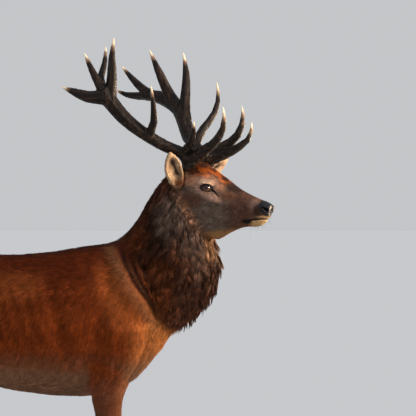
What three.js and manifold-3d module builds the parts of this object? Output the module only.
// A standing red deer stag, life size, as a still museum model: head up and turned a little to its right,
// full rutting mane, fourteen-point antlers. Millimetres, +X the way the body faces, +Y its left, +Z up.
// Every solid is a loft: a tube of rings through a few sections, parted from its neighbours by thin cuts.
import * as THREE from "three";
import { mergeVertices } from "three/addons/utils/BufferGeometryUtils.js";
import Module from "manifold-3d";

const wasm = await Module();
wasm.setup();

// ---- driving dimensions ----
const GAP = 0.3; // clearance between two pieces that touch
const EYE_HEIGHT = 1494; // eye centres above the ground
const HEAD_AT = [433, -77, EYE_HEIGHT]; // point midway between the eyes
const HEAD_TURN = THREE.MathUtils.degToRad(-18); // the head looks to its right
const EYE_RADIUS = 20;
const EYE_AT = [-12, 66, -3]; // left eye's centre in the head's frame
const BURR_RADIUS = 33; // coronet round an antler's base
const HOOF_HEIGHT = 46;
const SHOULDER_PLANE = { y: 62, z: 680, rise: 0.8 }; // where a foreleg leaves the chest
const GROIN_PLANE = { y: 62, z: 765, rise: 0.75 }; // where a hind leg leaves the belly
const KNEE_CUT = 385;
const HOCK_CUT = 470;
const TINE_SIDES = 6;

// ---- materials ----
function finish(roughness, ...rgb) {
  return new THREE.MeshStandardMaterial({ color: new THREE.Color(...rgb), roughness });
}
const RED_COAT = finish(0.9, 0.25, 0.08, 0.03);
const MANE_COAT = finish(0.9, 0.09, 0.045, 0.03);
const FACE_COAT = finish(0.9, 0.2, 0.12, 0.08);
const PALE_EAR = finish(0.9, 0.5, 0.36, 0.24);
const LEG_COAT = finish(0.9, 0.16, 0.09, 0.06);
const ANTLER_BONE = finish(0.6, 0.05, 0.03, 0.025);
const HORN = finish(0.45, 0.02, 0.018, 0.016);
const EYE_GLASS = finish(0.05, 0.03, 0.012, 0.006);

// ---- solids ----
const stag = new THREE.Group();

function solidOf(geometry) {
  const bare = geometry.clone();
  bare.deleteAttribute("normal");
  bare.deleteAttribute("uv");
  const merged = mergeVertices(bare, 1e-3);
  return new wasm.Manifold(
    new wasm.Mesh({
      numProp: 3,
      vertProperties: merged.attributes.position.array,
      triVerts: new Uint32Array(merged.index.array),
    }),
  );
}

function addMesh(name, solid, material) {
  const { vertProperties, triVerts } = solid.getMesh();
  const geometry = new THREE.BufferGeometry()
    .setAttribute("position", new THREE.BufferAttribute(vertProperties, 3))
    .setIndex(new THREE.BufferAttribute(triVerts, 1));
  geometry.computeVertexNormals();
  const mesh = new THREE.Mesh(geometry, material);
  mesh.name = name;
  stag.add(mesh);
}

const joined = (...solids) => solids.reduce((whole, piece) => whole.add(piece));

// The part of a solid above a level, or below it, half a gap short of it.
const above = (solid, level) => solid.trimByPlane([0, 0, 1], level + GAP / 2);
const below = (solid, level) => solid.trimByPlane([0, 0, -1], GAP / 2 - level);

// The part of a solid on the side of a plane that its normal points to, half a gap short of it.
function beyond(solid, normal, point) {
  const n = new THREE.Vector3(...normal).normalize();
  return solid.trimByPlane(n.toArray(), n.dot(new THREE.Vector3(...point)) + GAP / 2);
}

// ---- lofts ----
// A number, or a list of numbers, of the rows at t from 0 to 1, on a Catmull-Rom curve through them.
function along(values, t) {
  const span = Math.min(Math.floor(t * (values.length - 1)), values.length - 2);
  const f = t * (values.length - 1) - span;
  const valueAt = (k) => values[THREE.MathUtils.clamp(span + k, 0, values.length - 1)];
  const [a, b, c, d] = [-1, 0, 1, 2].map(valueAt);
  const blend = (p, q, r, s) =>
    q + 0.5 * f * (r - p + f * (2 * p - 5 * q + 4 * r - s + f * (3 * (q - r) + s - p)));
  return Array.isArray(b) ? b.map((_, i) => blend(a[i], b[i], c[i], d[i])) : blend(a, b, c, d);
}

// A closed tube of rings of points; each ring is a list of [x, y, z].
function tube(rings) {
  const sides = rings[0].length;
  const centre = (ring) => [0, 1, 2].map((k) => ring.reduce((sum, p) => sum + p[k], 0) / sides);
  const points = [...rings.flat(), centre(rings[0]), centre(rings.at(-1))];
  const [first, last] = [points.length - 2, points.length - 1];
  const faces = [];
  for (let j = 0; j < sides; j++) {
    const next = (j + 1) % sides;
    const end = (rings.length - 1) * sides;
    faces.push(first, next, j, last, end + j, end + next);
    for (let i = 0; i < rings.length - 1; i++) {
      const [a, b] = [i * sides + j, i * sides + next];
      faces.push(a, b, b + sides, a, b + sides, a + sides);
    }
  }
  return new THREE.BufferGeometry()
    .setAttribute("position", new THREE.Float32BufferAttribute(points.flat(), 3))
    .setIndex(faces);
}

// A loft through upright sections of the trunk, neck or head. Each row gives the section's highest
// and lowest point in the plane of the spine, its half-width, how high it is widest (0 to 1), its
// sideways place and its turn.
function bodyRings(rows, steps, sides, { roundness = 2.2, taper = 0, grow = 0 } = {}) {
  const values = ({ top, low, wide, level = 0.5, y = 0, turn = 0 }) => [...top, ...low, wide, level, y, turn];
  const full = rows.map(values);
  return Array.from({ length: steps + 1 }, (_, i) => {
    const [topX, topZ, lowX, lowZ, wide, level, y, turn] = along(full, i / steps);
    const mid = [lowX + (topX - lowX) * level, lowZ + (topZ - lowZ) * level];
    return Array.from({ length: sides }, (_, j) => {
      const angle = (2 * Math.PI * j) / sides;
      const [c, s] = [Math.cos(angle), Math.sin(angle)];
      const round = (v) => Math.sign(v) * Math.abs(v) ** (2 / roundness);
      const rise = round(s);
      const out = round(c) * (wide + grow) * (1 + taper * rise);
      const edge = s > 0 ? [topX - mid[0], topZ - mid[1]] : [mid[0] - lowX, mid[1] - lowZ];
      const x = mid[0] + edge[0] * rise;
      return [x - out * Math.sin(turn), y + out * Math.cos(turn), mid[1] + edge[1] * rise];
    });
  });
}

// A loft down a limb through level sections: centre, half-depth fore and aft, half-width.
function limbRings(rows, steps, sides, { side, stride, grow = 0 }) {
  const top = rows[0].at[1];
  const full = rows.map(({ at, deep, wide, y }) => [...at, deep, wide, y]);
  return Array.from({ length: steps + 1 }, (_, i) => {
    const [x, z, deep, wide, y] = along(full, i / steps);
    const step = stride * Math.min(1, (1 - z / top) * 1.3);
    return Array.from({ length: sides }, (_, j) => {
      const angle = (2 * Math.PI * j) / sides;
      return [
        x + step + (deep + grow) * Math.sin(angle),
        side * y + (wide + grow) * Math.cos(angle),
        z + (i === 0 ? grow : 0),
      ];
    });
  });
}

// A round tapering tube along a curve in space; radius is a function of the share t of its length.
function hornTube(points, radius, steps, sides, grow = 0) {
  const curve = new THREE.CatmullRomCurve3(points.map((p) => new THREE.Vector3(...p)));
  const { normals, binormals } = curve.computeFrenetFrames(steps, false);
  const rings = Array.from({ length: steps + 1 }, (_, i) => {
    const centre = curve.getPointAt(i / steps);
    const r = radius(i / steps) / Math.cos(Math.PI / sides) ** 0.5 + grow * 1.2;
    return Array.from({ length: sides }, (_, j) => {
      const angle = (2 * Math.PI * j) / sides;
      return centre
        .clone()
        .addScaledVector(normals[i], r * Math.cos(angle))
        .addScaledVector(binormals[i], r * Math.sin(angle))
        .toArray();
    });
  });
  return tube(rings);
}

// Moves each point of the rings near a swelling's centre, on both sides of the head, along its push.
function swell(rings, bumps) {
  return rings.map((ring) =>
    ring.map((point) => {
      const moved = [...point];
      for (const { at, size, push } of bumps) {
        const mirror = point[1] < 0 ? -1 : 1;
        const offset = [point[0] - at[0], point[1] * mirror - at[1], point[2] - at[2]];
        const weight = Math.exp(-offset.reduce((sum, d, k) => sum + (d / size[k]) ** 2, 0));
        moved[0] += weight * push[0];
        moved[1] += weight * push[1] * mirror;
        moved[2] += weight * push[2];
      }
      return moved;
    }),
  );
}

const headPose = new THREE.Matrix4().makeRotationZ(HEAD_TURN).setPosition(...HEAD_AT);
const onHead = (geometry) => geometry.applyMatrix4(headPose);

// ---- trunk, neck, head and tail ----
const TRUNK = [
  { top: [-1142, 1095], low: [-1148, 985], wide: 56 },
  { top: [-1102, 1184], low: [-1116, 890], wide: 128 },
  { top: [-1006, 1240], low: [-1016, 816], wide: 180 },
  { top: [-850, 1259], low: [-850, 800], wide: 196 },
  { top: [-668, 1249], low: [-668, 768], wide: 207 },
  { top: [-460, 1239], low: [-460, 720], wide: 230 },
  { top: [-270, 1246], low: [-270, 690], wide: 236 },
  { top: [-110, 1272], low: [-100, 682], wide: 220 },
  { top: [-10, 1281], low: [30, 712], wide: 194 },
  { top: [60, 1235], low: [125, 772], wide: 160 },
  { top: [115, 1130], low: [190, 870], wide: 108 },
  { top: [150, 1060], low: [205, 930], wide: 45 },
];
const NECK = [
  { top: [-80, 1225], low: [75, 770], wide: 150 },
  { top: [-30, 1276], low: [172, 828], wide: 176, level: 0.46 },
  { top: [22, 1295], low: [240, 925], wide: 172, level: 0.46, y: -2 },
  { top: [66, 1322], low: [330, 984], wide: 156, level: 0.46, y: -6, turn: -0.03 },
  { top: [112, 1378], low: [400, 1076], wide: 142, level: 0.46, y: -13, turn: -0.08 },
  { top: [154, 1444], low: [436, 1180], wide: 126, level: 0.48, y: -24, turn: -0.15 },
  { top: [198, 1508], low: [414, 1262], wide: 108, level: 0.5, y: -36, turn: -0.22 },
  { top: [258, 1566], low: [408, 1322], wide: 92, level: 0.5, y: -46, turn: -0.3 },
  { top: [330, 1576], low: [410, 1380], wide: 60, level: 0.5, y: -54, turn: -0.3 },
];
// In the head's own frame, its origin midway between the eyes.
const HEAD = [
  { top: [-158, 52], low: [-148, -140], wide: 58, level: 0.55 },
  { top: [-132, 88], low: [-120, -174], wide: 76, level: 0.6 },
  { top: [-88, 104], low: [-80, -190], wide: 80, level: 0.62 },
  { top: [-38, 86], low: [-34, -199], wide: 76, level: 0.66 },
  { top: [4, 57], low: [8, -202], wide: 68, level: 0.68 },
  { top: [46, 31], low: [44, -182], wide: 56, level: 0.64 },
  { top: [92, -1], low: [88, -163], wide: 46, level: 0.56 },
  { top: [140, -25], low: [132, -152], wide: 40, level: 0.52 },
  { top: [186, -44], low: [176, -153], wide: 38, level: 0.5 },
  { top: [216, -54], low: [205, -139], wide: 34, level: 0.52 },
  { top: [237, -68], low: [223, -113], wide: 23, level: 0.55 },
];
const HEAD_BUMPS = [
  { at: [-16, 72, 28], size: [36, 26, 18], push: [0, 14, 4] }, // brow
  { at: [-8, 68, -32], size: [38, 26, 14], push: [0, 7, 0] }, // lower rim of the orbit
  { at: [-60, 74, -60], size: [55, 30, 50], push: [0, 5, 0] }, // cheek
  { at: [62, 52, -40], size: [28, 22, 20], push: [0, -5, 0] }, // hollow before the eye
  { at: [120, 44, -84], size: [44, 22, 20], push: [0, 3, 0] }, // cheek end of the muzzle
  { at: [212, 32, -78], size: [17, 14, 17], push: [2, 5, 3] }, // nostril
  { at: [190, 36, -112], size: [34, 16, 10], push: [0, 4, 0] }, // upper lip
  { at: [236, 6, -86], size: [16, 26, 20], push: [5, 0, 0] }, // nose leather
];
const TAIL = [[-1084, 0, 1160], [-1132, 0, 1152], [-1164, 0, 1108], [-1176, 0, 1052], [-1176, 0, 996]];
const TAIL_RADIUS = (t) => 6 + 26 * Math.sin(Math.PI * (0.28 + 0.72 * t)) ** 0.8;

// ---- limbs ----
const FORELEG = [
  { at: [-22, 1150], deep: 62, wide: 26, y: 124 },
  { at: [4, 1060], deep: 112, wide: 50, y: 136 },
  { at: [34, 965], deep: 140, wide: 68, y: 138 },
  { at: [28, 870], deep: 128, wide: 70, y: 132 },
  { at: [2, 780], deep: 98, wide: 62, y: 125 },
  { at: [-8, 700], deep: 70, wide: 50, y: 119 },
  { at: [-4, 610], deep: 53, wide: 41, y: 114 },
  { at: [2, 510], deep: 40, wide: 33, y: 111 },
  { at: [6, 440], deep: 36, wide: 32, y: 110 },
  { at: [8, 398], deep: 37, wide: 34, y: 110 },
  { at: [3, 345], deep: 28, wide: 27, y: 109 },
  { at: [0, 260], deep: 22.5, wide: 20, y: 108 },
  { at: [-1, 175], deep: 24, wide: 21, y: 108 },
  { at: [-2, 128], deep: 32, wide: 27, y: 108 },
  { at: [9, 92], deep: 28, wide: 27, y: 108 },
  { at: [19, 64], deep: 33, wide: 33, y: 108 },
  { at: [22, 40], deep: 34, wide: 34, y: 108 },
];
const HINDLEG = [
  { at: [-930, 1185], deep: 66, wide: 30, y: 110 },
  { at: [-926, 1105], deep: 134, wide: 60, y: 124 },
  { at: [-922, 1012], deep: 182, wide: 80, y: 129 },
  { at: [-916, 920], deep: 190, wide: 84, y: 129 },
  { at: [-910, 840], deep: 170, wide: 76, y: 125 },
  { at: [-918, 765], deep: 130, wide: 62, y: 120 },
  { at: [-948, 695], deep: 92, wide: 50, y: 116 },
  { at: [-988, 635], deep: 68, wide: 41, y: 113 },
  { at: [-1027, 582], deep: 55, wide: 35, y: 111 },
  { at: [-1053, 540], deep: 50, wide: 34, y: 110 },
  { at: [-1058, 495], deep: 39, wide: 31, y: 110 },
  { at: [-1056, 430], deep: 30, wide: 26, y: 110 },
  { at: [-1047, 320], deep: 25, wide: 22, y: 109 },
  { at: [-1035, 195], deep: 26, wide: 22, y: 109 },
  { at: [-1029, 140], deep: 34, wide: 28, y: 109 },
  { at: [-1015, 100], deep: 29, wide: 27, y: 109 },
  { at: [-1002, 66], deep: 33, wide: 33, y: 109 },
  { at: [-998, 40], deep: 34, wide: 34, y: 109 },
];
const LIMBS = [
  {
    name: "foreleg",
    rows: FORELEG,
    cut: KNEE_CUT,
    plane: SHOULDER_PLANE,
    stride: { right: 30, left: -45 },
  },
  { name: "hindleg", rows: HINDLEG, cut: HOCK_CUT, plane: GROIN_PLANE, stride: { right: -50, left: 55 } },
];
const SIDES = { right: -1, left: 1 };
const LIMB_STEPS = 15;
const LIMB_SIDES = 8;

// One claw of a cloven hoof: level sections from the coronet down to the flat sole, pointed at the toe.
const CLAW = [
  { at: [-6, HOOF_HEIGHT + 12], deep: 32, wide: 16, y: 0 },
  { at: [-2, 34], deep: 36, wide: 16.5, y: 0 },
  { at: [4, 16], deep: 41, wide: 16, y: 0 },
  { at: [8, 0], deep: 43, wide: 15.5, y: 0 },
];
const CLAW_SPACING = 17.5; // from the middle of the foot to the middle of each claw
const DEWCLAW = { size: [13, 10, 17], back: 50, height: 100, spacing: 0.75 * CLAW_SPACING, tilt: 0.4 };
function claw(footX, y) {
  const rings = limbRings(CLAW, 3, 9, { side: 1, stride: 0 });
  return solidOf(tube(rings.map((ring) => ring.map(([x, across, z]) => {
    const toe = THREE.MathUtils.clamp((x - 10) / 40, 0, 1);
    return [footX + x, y + across * (1 - 0.35 * toe) - 0.1 * Math.sign(y) * toe, z];
  }))));
}

const neckSolid = solidOf(tube(bodyRings(NECK, 12, 18, { roundness: 2.1 })));
let body = joined(solidOf(tube(bodyRings(TRUNK, 14, 18))), neckSolid);

for (const { name, rows, cut, plane, stride } of LIMBS) {
  for (const [sideName, side] of Object.entries(SIDES)) {
    const shape = { side, stride: stride[sideName] };
    const limb = solidOf(tube(limbRings(rows, LIMB_STEPS, LIMB_SIDES, shape)));
    const room = solidOf(tube(limbRings(rows, LIMB_STEPS, LIMB_SIDES, { ...shape, grow: GAP })));
    const normal = [0, side * plane.rise, -1];
    const point = [0, side * plane.y, plane.z];
    const n = new THREE.Vector3(...normal).normalize();
    const recess = room.trimByPlane(n.toArray(), n.dot(new THREE.Vector3(...point)) - GAP / 2);
    body = body.add(limb.trimByPlane([0, 0, 1], plane.z - 60)).subtract(recess);
    const free = beyond(limb, normal, point);
    addMesh(`${name}_${sideName}_upper`, above(free, cut), RED_COAT);

    const foot = rows.at(-1).at[0] + 6 + stride[sideName];
    const footY = side * rows.at(-1).y;
    let shank = above(below(free, cut), HOOF_HEIGHT);
    for (const [clawName, out] of Object.entries({ outer: side, inner: -side })) {
      const hoof = below(claw(foot, footY + out * CLAW_SPACING), HOOF_HEIGHT);
      addMesh(`hoof_${name}_${sideName}_${clawName}`, hoof, HORN);
      const [dew, dewRoom] = [0, GAP].map((grow) =>
        solidOf(new THREE.SphereGeometry(1, 6, 4)
          .scale(...DEWCLAW.size.map((radius) => radius + grow))
          .rotateY(DEWCLAW.tilt)
          .translate(foot - DEWCLAW.back, footY + out * DEWCLAW.spacing, DEWCLAW.height)));
      addMesh(`dewclaw_${name}_${sideName}_${clawName}`, dew, HORN);
      shank = shank.subtract(dewRoom);
    }
    addMesh(`${name}_${sideName}_lower`, shank, LEG_COAT);
  }
}

// ---- tail ----
const [tail, tailRoom] = [0, GAP].map((grow) => solidOf(hornTube(TAIL, TAIL_RADIUS, 7, 8, grow)));
addMesh("tail", tail.trimByPlane([-1, 0, 0], GAP - TAIL[0][0]), RED_COAT);
body = body.subtract(tailRoom);

// ---- antlers ----
// Points in the head's frame with y outwards. Each tine leaves the beam at a share of its length. The
// radii of a beam are at even shares of it.
const TINE_RADIUS = (base) => (t) => base * (1 + 0.5 * Math.exp(-t / 0.12)) * (1 - t ** 2.5) + 1.2;
const ANTLERS = {
  right: {
    beam: [[-86, 62, 88], [-107, 90, 132], [-149, 128, 154], [-204, 185, 197], [-268, 246, 261],
      [-319, 288, 336], [-341, 300, 372]],
    radii: [21, 21.5, 22.5, 24.5, 27.5, 30],
    tines: {
      brow: {
        t: 0.05, via: [[-22, 79, 139], [42, 94, 176], [84, 108, 238]],
        tip: [85, 116, 313], radius: 18,
      },
      bez: {
        t: 0.12, via: [[-76, 101, 154], [-50, 118, 181], [-30, 138, 220]],
        tip: [-23, 152, 257], radius: 13,
      },
      trez: { t: 0.46, via: [[-168, 208, 240], [-149, 245, 314]], tip: [-148, 265, 391], radius: 13 },
      crown_front: {
        t: 0.9, via: [[-308, 284, 420], [-307, 287, 490]],
        tip: [-296, 290, 577], radius: 18,
      },
      crown_inner: {
        t: 0.97, via: [[-362, 276, 420], [-360, 250, 468]],
        tip: [-372, 215, 545], radius: 13,
      },
      crown_outer: { t: 0.985, via: [[-372, 318, 440]], tip: [-396, 345, 517], radius: 14 },
      crown_rear: { t: 0.94, via: [[-384, 318, 346]], tip: [-490, 358, 386], radius: 22 },
    },
  },
  left: {
    beam: [[-83, 62, 98], [-133, 100, 142], [-207, 160, 186], [-260, 215, 254], [-301, 255, 300],
      [-354, 283, 331], [-409, 305, 350], [-453, 320, 357], [-499, 332, 365]],
    radii: [21, 21.5, 26.5, 29, 27, 19],
    tines: {
      brow: {
        t: 0.035, via: [[-30, 83, 121], [50, 102, 163], [82, 111, 196]],
        tip: [85, 120, 255], radius: 17,
      },
      bez: {
        t: 0.06, via: [[-19, 107, 164], [13, 122, 190], [36, 140, 256]],
        tip: [25, 150, 319], radius: 18,
      },
      trez: {
        t: 0.22, via: [[-158, 185, 231], [-141, 226, 276], [-134, 256, 336]],
        tip: [-147, 270, 413], radius: 14,
      },
      crown_front: {
        t: 0.5, via: [[-279, 254, 332], [-284, 274, 392], [-291, 286, 455]],
        tip: [-305, 290, 527], radius: 20,
      },
      crown_inner: {
        t: 0.68, via: [[-362, 250, 392], [-377, 231, 442]],
        tip: [-412, 210, 537], radius: 18,
      },
      crown_outer: {
        t: 0.93, via: [[-514, 336, 389], [-555, 337, 425]],
        tip: [-601, 330, 477], radius: 15,
      },
      crown_rear: {
        t: 0.95, via: [[-541, 346, 358], [-608, 362, 367]],
        tip: [-650, 368, 387], radius: 14,
      },
    },
  },
};
const beamRadius = (radii) => (t) =>
  along(radii, t) + (BURR_RADIUS - radii[0]) * Math.exp(-((t / 0.035) ** 2));
const SPLIT = { right: 0.54, left: 0.34 }; // the beam is parted just above the trez tine

let head = solidOf(tube(swell(bodyRings(HEAD, 18, 18, { roundness: 2.15, taper: 0.16 }), HEAD_BUMPS)));
for (const [sideName, side] of Object.entries(SIDES)) {
  const { beam, radii, tines } = ANTLERS[sideName];
  const placed = beam.map(([x, y, z]) => [x, y * side, z]);
  const curve = new THREE.CatmullRomCurve3(placed.map((p) => new THREE.Vector3(...p)));
  const burr = placed[0];
  const [beamTube, beamRoom] = [0, GAP].map((grow) =>
    solidOf(hornTube(placed, beamRadius(radii), 15, 8, grow)));
  const beamSolid = beyond(beamTube, curve.getTangentAt(0).toArray(), burr);
  const pedicle = solidOf(hornTube([[-84, 44 * side, 40], burr], () => 25, 1, 8));
  head = head.add(pedicle).subtract(beamRoom);

  let taken = beamRoom;
  for (const [tineName, { t, via, tip, radius }] of Object.entries(tines)) {
    const path = [curve.getPointAt(t).toArray(), ...[...via, tip].map(([x, y, z]) => [x, y * side, z])];
    const [tine, room] = [0, GAP].map((grow) =>
      solidOf(hornTube(path, TINE_RADIUS(radius), via.length + 4, TINE_SIDES, grow)));
    const free = tine.subtract(taken);
    const largest = free.decompose().sort((a, b) => b.volume() - a.volume())[0];
    taken = taken.add(room);
    addMesh(`antler_${sideName}_${tineName}`, onPose(largest), ANTLER_BONE);
  }
  head = head.subtract(taken);
  const cutAt = curve.getPointAt(SPLIT[sideName]).toArray();
  const cutNormal = curve.getTangentAt(SPLIT[sideName]).toArray();
  addMesh(`antler_${sideName}_beam_upper`, onPose(beyond(beamSolid, cutNormal, cutAt)), ANTLER_BONE);
  const lowerBeam = beyond(beamSolid, cutNormal.map((v) => -v), cutAt);
  addMesh(`antler_${sideName}_beam_lower`, onPose(lowerBeam), ANTLER_BONE);
}

// A solid of the head's frame, placed on the body.
function onPose(solid) {
  const { vertProperties, triVerts } = solid.getMesh();
  const geometry = new THREE.BufferGeometry()
    .setAttribute("position", new THREE.BufferAttribute(vertProperties.slice(), 3))
    .setIndex(new THREE.BufferAttribute(triVerts.slice(), 1));
  return solidOf(onHead(geometry));
}

// ---- eyes and mouth ----
for (const [sideName, side] of Object.entries(SIDES)) {
  const [x, y, z] = EYE_AT;
  const [ball, socket] = [0, GAP].map((grow) =>
    solidOf(new THREE.SphereGeometry(EYE_RADIUS + grow, 9, 6).translate(x, side * y, z)));
  addMesh(`eye_${sideName}`, onPose(ball), EYE_GLASS);
  head = head.subtract(socket);
}
const MOUTH = { corner: [128, -134], front: [262, -118], height: 3 };
const mouthShape = new THREE.Shape([
  new THREE.Vector2(...MOUTH.corner),
  new THREE.Vector2(MOUTH.front[0], MOUTH.front[1] - MOUTH.height),
  new THREE.Vector2(MOUTH.front[0], MOUTH.front[1] + MOUTH.height),
]);
const mouth = new THREE.ExtrudeGeometry(mouthShape, { depth: 120, bevelEnabled: false });
head = head.subtract(solidOf(mouth.rotateX(Math.PI / 2).translate(0, 60, 0)));

// ---- ears ----
// A cupped leaf: an outer loft from root to tip, hollowed by a smaller one set towards the opening.
const EARS = {
  right: { root: [-128, 74, -2], tip: [-104, 196, 134], opening: [0.6, 0.8, 0.1] },
  left: { root: [-126, 72, 0], tip: [-76, 232, 116], opening: [0.97, -0.1, 0.1] },
};
const EAR_ROWS = [
  { t: 0, wide: 18, thick: 16 },
  { t: 0.2, wide: 30, thick: 22 },
  { t: 0.42, wide: 37, thick: 21 },
  { t: 0.64, wide: 33, thick: 17 },
  { t: 0.85, wide: 20, thick: 11 },
  { t: 1, wide: 4, thick: 4 },
];
const EAR_WALL = 5;
function earTube({ root, tip, opening }, side, { shrink = 0, shift = 0, from = 0 }) {
  const [base, end] = [root, tip].map(([x, y, z]) => new THREE.Vector3(x, y * side, z));
  const axis = end.clone().sub(base);
  const face = new THREE.Vector3(opening[0], opening[1] * side, opening[2]);
  face.addScaledVector(axis, -face.dot(axis) / axis.lengthSq()).normalize();
  const across = face.clone().cross(axis).normalize();
  const rows = EAR_ROWS.map(({ t, wide, thick }) => [t, wide, thick]);
  const rings = Array.from({ length: 9 }, (_, i) => {
    const [t, wide, thick] = along(rows, i / 8);
    const place = from + (1 - from) * t;
    const centre = base.clone().addScaledVector(axis, place);
    centre.addScaledVector(face, shift - 12 * Math.sin(3 * t));
    return Array.from({ length: 10 }, (_, j) => {
      const angle = (2 * Math.PI * j) / 10;
      return centre
        .clone()
        .addScaledVector(across, Math.max(wide - shrink, 2) * Math.cos(angle))
        .addScaledVector(face, Math.max(thick - shrink, 2) * Math.sin(angle))
        .toArray();
    });
  });
  return solidOf(tube(rings));
}
for (const [sideName, side] of Object.entries(SIDES)) {
  const outer = earTube(EARS[sideName], side, {});
  const hollow = earTube(EARS[sideName], side, { shrink: EAR_WALL, shift: 14, from: 0.12 });
  const cup = outer.subtract(hollow).decompose().sort((a, b) => b.volume() - a.volume())[0];
  addMesh(`ear_${sideName}`, onPose(cup), PALE_EAR);
  const earRoom = earTube(EARS[sideName], side, { shrink: -GAP });
  head = head.subtract(earRoom);
  body = body.subtract(onPose(earRoom));
}

// ---- the cuts between trunk, neck and head ----
const NECK_PLANE = { normal: [0.86, 0, 0.5], point: [40, 0, 1291] };
const HEAD_PLANE = { normal: [0.84, -0.27, 0.48], point: [262, -46, 1575] };
const reversed = (normal) => normal.map((v) => -v);
head = onPose(head.decompose().sort((a, b) => b.volume() - a.volume())[0]);
const onward = beyond(body, NECK_PLANE.normal, NECK_PLANE.point);
addMesh("trunk", beyond(body, reversed(NECK_PLANE.normal), NECK_PLANE.point), RED_COAT);
addMesh("neck", beyond(onward, reversed(HEAD_PLANE.normal), HEAD_PLANE.point), MANE_COAT);
addMesh("head", beyond(head, HEAD_PLANE.normal, HEAD_PLANE.point), FACE_COAT);

// The part's origin is the middle of its box, on the ground.
const bounds = new THREE.Box3().setFromObject(stag);
const middle = bounds.getCenter(new THREE.Vector3());
stag.position.set(-middle.x, -middle.y, -bounds.min.z);

export default stag;
